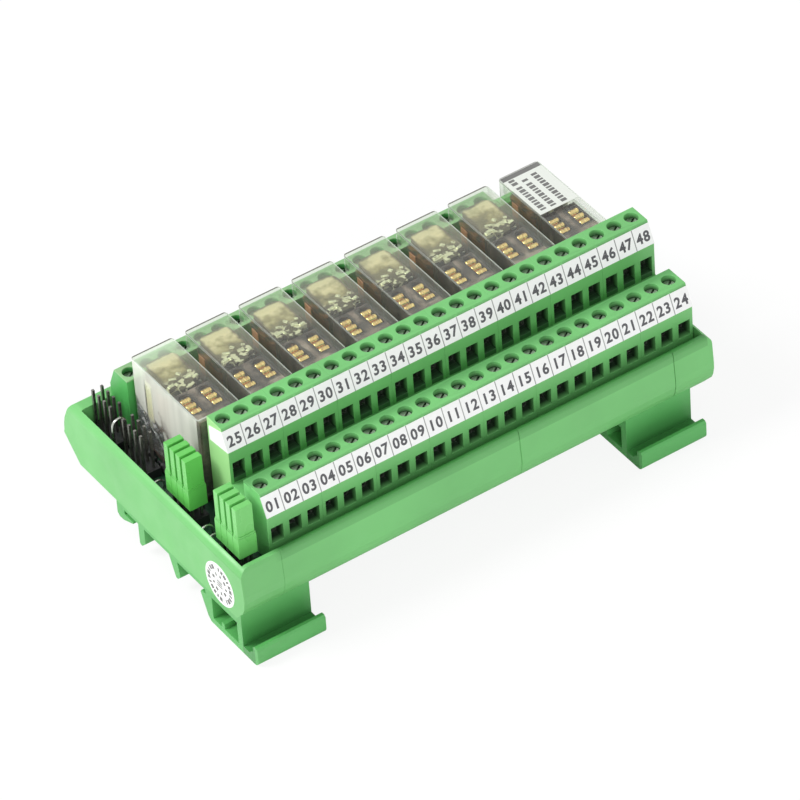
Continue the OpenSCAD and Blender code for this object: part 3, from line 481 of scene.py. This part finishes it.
tray = ["left_end_element", "long_element", "short_element", "right_end_element"]
feet = ["left_rail_foot", "right_rail_foot"]
terminals = numbered("terminal_block", RELAYS) + ["back_terminals"]
jumpers = ["front_jumpers", "rear_jumpers"]
covers = numbered("relay_cover", RELAYS)
bases = numbered("relay_base", RELAYS)
armatures = numbered("relay_armature", RELAYS)

contact_metal = metal("contact_metal", (0.5, 0.21, 0.07), 0.34, (1, 1, 5), 0.3)
rivet_metal = metal("rivet_metal", (1.0, 0.55, 0.22), 0.2, (3, 1, 1), 0.35)
tab_metal = metal("tab_metal", (0.78, 0.73, 0.5), 0.34, (2, 2, 1), 0.45)
lead_metal = metal("lead_metal", (0.75, 0.8, 0.84), 0.26, (1, 1, 4), 0.3)
# Cream paint for the painted highlight of the winding on the first relay's coil
coil_highlight_paint = plastic("coil_highlight_paint", (1.0, 0.9, 0.66), 0.3, 0.004 * MM)
copper_paint = plastic("copper_paint", (0.75, 0.33, 0.18), 0.3, 0.004 * MM, 0.3)
white_paper = paper("white_paper")
label_paper = paper("label_paper", (0.7, 0.73, 0.68))
print_ink = plastic("print_ink", (0.08, 0.08, 0.088), 0.5)
line_ink = plastic("line_ink", (0.3, 0.31, 0.3), 0.55, drift=0.2)
grey_ink = plastic("grey_ink", (0.16, 0.16, 0.155), 0.55, drift=0.3)

looks = {
    tray_material(): tray,
    foot_material(): feet,
    terminal_material(): terminals,
    metal("plated_steel", (0.42, 0.47, 0.4), 0.36, (1, 1, 6)): ["terminal_screws", "wire_clamps"],
    board_material(): ["circuit_board"],
    white_paper: ["upper_label_strip", "lower_label_strip"],
    clear_plastic(): covers,
    base_material(): bases,
    coil_material(): numbered("relay_coil", RELAYS),
    armature_material(): armatures,
    metal("yoke_iron", (0.55, 0.53, 0.46), 0.34, (1, 1, 4)): ["relay_yokes"],
    contact_metal: ["relay_contacts"],
    plastic("black_plastic", (0.018, 0.018, 0.02), 0.4, drift=0.2): ["pin_headers", "diodes"],
    metal("pin_metal", (0.22, 0.215, 0.2), 0.36, (1, 1, 8), 0.4): ["header_pins"],
    jumper_material(): jumpers,
    metal("wire_metal", (0.42, 0.44, 0.4), 0.24): ["wire_links"],
}


def paint(node, material):
    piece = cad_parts[node]
    if not piece.material_slots:
        piece.data.materials.append(material)
    for slot in piece.material_slots:
        slot.material = material


for material, nodes in looks.items():
    for node in nodes:
        paint(node, material)

# Small pieces and edges that the solids leave out


def round_edges(piece, radius, segments):
    """Rounds a piece's sharp edges a little, as a mould or a press does."""
    bevel = piece.modifiers.new("edge_radius", "BEVEL")
    bevel.width = radius
    bevel.segments = segments
    bevel.limit_method = "ANGLE"
    bevel.angle_limit = SHARP
    bevel.harden_normals = True


class Pieces:
    """Collects small solids into one mesh, which then rides on a body."""

    def __init__(self):
        self.mesh = bmesh.new()

    def box(self, low, high, turn):
        middle = Matrix.Translation((Vector(low) + Vector(high)) / 2)
        scale = Matrix.Diagonal((*(Vector(high) - Vector(low)), 1))
        bmesh.ops.create_cube(self.mesh, size=1, matrix=turn @ middle @ scale)

    def rod(self, start, end, radius, sides):
        # Not normalized, the short step through a thin disc would count as none
        turn = (end - start).normalized().to_track_quat("Z", "Y").to_matrix().to_4x4()
        bmesh.ops.create_cone(
            self.mesh, cap_ends=True, segments=sides, radius1=radius, radius2=radius,
            depth=(end - start).length, matrix=Matrix.Translation((start + end) / 2) @ turn)

    def add(self, mesh, matrix):
        start = len(self.mesh.verts)
        self.mesh.from_mesh(mesh)
        self.mesh.verts.ensure_lookup_table()
        bmesh.ops.transform(self.mesh, matrix=matrix, verts=self.mesh.verts[start:])

    def finish(self, name, material, body="root", radius=0, segments=2, smooth=False):
        mesh = bpy.data.meshes.new(name)
        self.mesh.to_mesh(mesh)
        self.mesh.free()
        mesh.materials.append(material)
        piece = bpy.data.objects.new(name, mesh)
        bpy.context.collection.objects.link(piece)
        if smooth:
            mesh.shade_smooth()
            mesh.set_sharp_from_angle(angle=SHARP)
        if radius:
            round_edges(piece, radius, segments)
        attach(piece, body)


def digit_meshes(height, width):
    """The ten digits as flat meshes in the XY plane, scaled so that a zero has this height and width."""
    digits = []
    scale = None
    for digit in range(10):
        curve = bpy.data.curves.new("digit", "FONT")
        curve.body = str(digit)
        curve.offset = 0.032
        curve.resolution_u = 3
        holder = bpy.data.objects.new("digit", curve)
        bpy.context.collection.objects.link(holder)
        bpy.context.view_layer.update()
        mesh = bpy.data.meshes.new_from_object(holder.evaluated_get(bpy.context.evaluated_depsgraph_get()))
        bpy.data.objects.remove(holder)
        xs = [v.co.x for v in mesh.vertices]
        ys = [v.co.y for v in mesh.vertices]
        if scale is None:
            scale = Matrix.Diagonal((width / (max(xs) - min(xs)), height / (max(ys) - min(ys)), 1, 1))
        mesh.transform(scale @ Matrix.Translation((-(max(xs) + min(xs)) / 2, -min(ys), 0)))
        digits.append(mesh)
    return digits


# A strip leans back by LABEL_LEAN over its height and ends this far below its level's top
LABEL_H = 5 * MM
LABEL_LEAN = 2.2 * MM
LABEL_T = 0.15 * MM
LABEL_BELOW_TOP = 5.7 * MM
DIGIT_H = 2.85 * MM
DIGIT_W = 1.8 * MM
DIGIT_STEP = 2.05 * MM
DIGIT_FOOT = 1.15 * MM
LINE_W = 0.24 * MM
INK_T = 0.012 * MM


def label_marks():
    """Plain running numbers on the two label strips, with a line between each two."""
    slope = math.hypot(LABEL_H, LABEL_LEAN)
    up = Vector((0, LABEL_LEAN, LABEL_H)) / slope
    out = Vector((0, -LABEL_H, LABEL_LEAN)) / slope
    turn = Matrix((Vector((1, 0, 0)), up, out)).transposed().to_4x4()
    numbers, lines = Pieces(), Pieces()
    digits = digit_meshes(DIGIT_H, DIGIT_W)
    for (front, _, top), first in ((LOW_LEVEL, 1), (HIGH_LEVEL, 1 + POLES)):
        for pole in range(POLES):
            left = Vector((FIRST_POLE_X + (pole - 0.5) * PITCH, front, top - LABEL_BELOW_TOP))
            place = Matrix.Translation(left + out * (LABEL_T + INK_T)) @ turn
            if pole:
                lines.box((-LINE_W / 2, 0, -0.01 * MM), (LINE_W / 2, slope, 0.004 * MM), place)
            for k, digit in enumerate(divmod(first + pole, 10)):
                shift = Vector((PITCH / 2 + (k - 0.5) * DIGIT_STEP, DIGIT_FOOT, 0))
                numbers.add(digits[digit], place @ Matrix.Translation(shift))
    numbers.finish("pole_numbers", print_ink)
    lines.finish("label_lines", line_ink)


SEAL_CENTRE = Vector((-67.5, -26.75, 16.1)) * MM
SEAL_RADIUS = 6.0 * MM
SEAL_T = 0.09 * MM
SEAL_RING = 22
SEAL_SPOKES = 9


def round_seal():
    """Round paper seal on the left end plate, with plain marks that mean nothing."""
    disc, marks = Pieces(), Pieces()
    outwards = Vector((-1, 0, 0))
    disc.rod(SEAL_CENTRE, SEAL_CENTRE + outwards * SEAL_T, SEAL_RADIUS, 64)
    disc.finish("round_seal", white_paper)
    start = Matrix.Translation(SEAL_CENTRE + outwards * (SEAL_T + 0.01 * MM))

    def mark(angle, radius, along, across):
        """One bar, at this angle and radius on the seal, in millimetres."""
        turn = start @ Matrix.Rotation(angle, 4, "X") @ Matrix.Translation((0, 0, radius * MM))
        half = Vector((0.01, along / 2, across / 2)) * MM
        marks.box(-half, half, turn)

    for k in range(SEAL_RING):
        if k % 11 != 10:
            mark(2 * math.pi * k / SEAL_RING, 4.6, 0.55 + 0.3 * (k % 3), 1.15)
    for k in range(SEAL_SPOKES):
        mark(2 * math.pi * k / SEAL_SPOKES + 0.2, 2.7, 0.6 + 0.35 * (k % 2), 0.9)
    for height in (-0.7, 0, 0.7):
        mark(0, height, 2.2, 0.36)
    marks.finish("seal_marks", grey_ink)


def relay_frame(index, height=0):
    """Where a relay's own X, Y and Z start: the middle of its front edge on the board."""
    return Matrix.Translation((FIRST_RELAY_X + index * RELAY_PITCH, RELAY_Y, BOARD_TOP + height))


# Middle X and first Y in millimetres of each row of bars on the last relay's label, and its count
LABEL_BARS = ((-3.7, 12.8, 9), (-0.9, 12.6, 9), (2.2, 12.4, 11), (-3.7, 24.4, 2), (-0.9, 24.2, 1))


def paper_label():
    """Paper label on the last relay, with rows of plain bars and a dark band."""
    sheet, bars = Pieces(), Pieces()
    turn = relay_frame(RELAYS - 1, COVER_TOP - BOARD_TOP)
    half = RELAY_W / 2 - 0.35 * MM
    paper_z, ink_z = 0.08 * MM, 0.09 * MM
    sheet.box((-half, 11.6 * MM, 0.002 * MM), (half, 28.75 * MM, paper_z), turn)
    sheet.finish("relay_label", label_paper)
    bars.box((-half, 27.0 * MM, 0.01 * MM), (half, 28.6 * MM, ink_z), turn)
    for x, y, count in LABEL_BARS:
        for k in range(count):
            length = 0.62 + 0.22 * ((k * 2 + count) % 3)
            bars.box(((x - 0.8) * MM, y * MM, 0.01 * MM), ((x + 0.8) * MM, (y + length) * MM, ink_z), turn)
            y += length + 0.38
    bars.finish("relay_label_bars", grey_ink)


# X, Y, width and length of each spring tab on an armature's plate in millimetres, and its angle in degrees
TABS = ((-3.3, 15.5, 1.7, 0.9, 12), (-1.7, 17.4, 1.9, 0.7, -25), (-1.9, 15.2, 0.8, 1.2, 8),
        (0.5, 18.3, 1.0, 1.2, 35), (1.7, 16.2, 1.8, 1.0, -14), (3.3, 15.3, 1.6, 0.8, 15),
        (3.2, 17.6, 1.0, 0.7, -30))
CONTACT_ROWS = (5.55 * MM, 7.85 * MM, 10.15 * MM)
HEAD_Z = 22.75 * MM
HEAD_RADIUS = 0.98 * MM
BED_Y = (4.6 * MM, 11.6 * MM)
BED_Z = (22.0 * MM, 22.5 * MM)
STRIP_X = (-5.35 * MM, -5.15 * MM)
# Y, foot Z, height and lean of each lead behind a cover's left side, in millimetres
LEADS = ((17.2, 1.5, 5.5, 0.4), (18.6, 3.5, 3.2, 2.6), (20.2, 1.2, 4.0, 0), (21.0, 6.4, 0.6, 2.4),
         (23.6, 2.0, 5.2, -0.8), (24.6, 3.4, 2.8, 2.0), (26.2, 1.4, 7.5, 0.2), (25.0, 8.6, 1.6, 1.4))
LEAD_X = -5.3 * MM
LEAD_RADIUS = 0.2 * MM


def relay_details(index):
    """Small parts of one relay: spring tabs on its armature, rivet heads on dark beds in the windows over its
    contacts, and a strip and leads on the left of its coil. On the first relay the strip is a cream painted
    highlight of the coil's winding."""
    turn = relay_frame(index)
    tabs, heads, beds, strip, leads = (Pieces() for _ in range(5))
    for x, y, width, length, angle in TABS:
        place = Matrix.Translation((x * MM, y * MM, PLATE_TOP)) @ Matrix.Rotation(math.radians(angle), 4, "Z")
        half = Vector((width, length, 0)) * MM / 2
        tabs.box(-half - Vector((0, 0, 0.02 * MM)), half + Vector((0, 0, 0.26 * MM)), turn @ place)
    tabs.finish(f"armature_tabs_{index + 1}", tab_metal, f"armature_{index + 1}", 0.1 * MM)

    for middle in (-WINDOW_X, WINDOW_X):
        left, right = middle - WINDOW_W / 2, middle + WINDOW_W / 2
        for y in CONTACT_ROWS:
            heads.rod(turn @ Vector((left, y, HEAD_Z)), turn @ Vector((right, y, HEAD_Z)), HEAD_RADIUS, 16)
        beds.box((left, BED_Y[0], BED_Z[0]), (right, BED_Y[1], BED_Z[1]), turn)
    heads.finish(f"contact_heads_{index + 1}", rivet_metal, radius=0.3 * MM, segments=3)
    beds.finish(f"contact_beds_{index + 1}", contact_metal)

    # On the first relay the strip is a painted highlight of the coil's winding, in cream; on the others it is
    # copper
    left, right = STRIP_X
    strip.box((left, 21.6 * MM, 9.6 * MM), (right, 24.2 * MM, 21.4 * MM), turn)
    strip.box((left, 22.3 * MM, 7.4 * MM), (right, 23.8 * MM, 9.6 * MM), turn)
    strip.finish(f"coil_strip_{index + 1}", copper_paint if index else coil_highlight_paint, radius=0.05 * MM)
    for y, z, height, lean in LEADS:
        start = turn @ Vector((LEAD_X, y * MM, z * MM))
        leads.rod(start, start + Vector((0, lean, height)) * MM, LEAD_RADIUS, 10)
    leads.finish(f"lead_frame_{index + 1}", lead_metal, smooth=True)


label_marks()
round_seal()
paper_label()
for index in range(RELAYS):
    relay_details(index)

# Edge radius of the mouldings in millimetres, and its segments
EDGES = ((tray, 0.3, 2), (feet, 0.25, 2), (terminals, 0.18, 2), (jumpers, 0.2, 2), (covers, 0.3, 3),
         (bases, 0.15, 2), (armatures, 0.12, 2))
for nodes, radius, segments in EDGES:
    for node in nodes:
        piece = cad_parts[node]
        weld = piece.modifiers.new("weld", "WELD")
        weld.merge_threshold = 0.002 * MM
        round_edges(piece, radius * MM, segments)

# Stage, lights and camera


def seen_by(tree, *rays):
    """1 for rays of any of these kinds, and 0 for the others."""
    path = tree.nodes.new("ShaderNodeLightPath")
    seen = path.outputs[rays[0]]
    for ray in rays[1:]:
        either = tree.nodes.new("ShaderNodeMath")
        either.operation = "MAXIMUM"
        tree.links.new(seen, either.inputs[0])
        tree.links.new(path.outputs[ray], either.inputs[1])
        seen = either.outputs[0]
    return seen


# The floor glows to the eye, so that only a faint shadow stays on it
FLOOR_GLOW = 0.88
FLOOR_REACH = 6.0
pale = Nodes("pale_floor", Roughness=0.9)
pale.feed("Base Color", (0.93, 0.93, 0.93, 1))
glow = pale.add("Emission", Color=(1, 1, 1, 1), Strength=1.0)
shining = pale.both(seen_by(pale.tree, "Is Camera Ray", "Is Transmission Ray"), FLOOR_GLOW)
pale.show(pale.mix_shaders(shining, pale.shader.outputs[0], glow.outputs[0]))

floor_mesh = bpy.data.meshes.new("floor")
corners = [(x * FLOOR_REACH, y * FLOOR_REACH, 0) for x, y in ((-1, -1), (1, -1), (1, 1), (-1, 1))]
floor_mesh.from_pydata(corners, [], [(0, 1, 2, 3)])
floor_mesh.materials.append(pale.material)
floor = bpy.data.objects.new("floor", floor_mesh)
bpy.context.collection.objects.link(floor)

# The sky is white to the eye and in glossy faces, and lights the rest at a lower level
SKY_LIGHT = 0.47
world = bpy.data.worlds.new("studio")
bpy.context.scene.world = world
world.use_nodes = True
sky = world.node_tree
background = sky.nodes["Background"]
background.inputs["Color"].default_value = (1, 1, 1, 1)
level = sky.nodes.new("ShaderNodeMapRange")
level.inputs["To Min"].default_value = SKY_LIGHT
level.inputs["To Max"].default_value = 1.0
sky.links.new(seen_by(sky, "Is Camera Ray", "Is Glossy Ray", "Is Transmission Ray"), level.inputs["Value"])
sky.links.new(level.outputs[0], background.inputs["Strength"])


def lamp(name, place, size, power):
    """A round lamp that points at the object."""
    light = bpy.data.lights.new(name, "AREA")
    light.shape = "DISK"
    light.size = size
    light.energy = power
    piece = bpy.data.objects.new(name, light)
    bpy.context.collection.objects.link(piece)
    piece.location = place
    aim = Vector((0, 0, 0.02)) - Vector(place)
    piece.rotation_euler = aim.to_track_quat("-Z", "Y").to_euler()


lamp("key_light", (-1.1, 0.55, 1.35), 0.8, 29)
lamp("fill_light", (-0.5, -1.6, 0.9), 1.2, 14)

# The place, turn and lens that bring the solids onto the photo
camera_data = bpy.data.cameras.new("camera")
camera = bpy.data.objects.new("camera", camera_data)
bpy.context.collection.objects.link(camera)
camera_data.sensor_width = 36
camera_data.lens = 293.059
camera_data.shift_x = 0.003027
camera_data.shift_y = 0.000211
camera_data.clip_start = 0.05
camera.matrix_world = Matrix((
    (0.822459, 0.408462, -0.395879, -0.614319),
    (-0.566001, 0.518392, -0.641024, -0.996439),
    (-0.056613, 0.751284, 0.657546, 1.039339),
    (0, 0, 0, 1)))
bpy.context.scene.camera = camera

bpy.context.scene.view_settings.view_transform = "Standard"

bpy.context.view_layer.update()
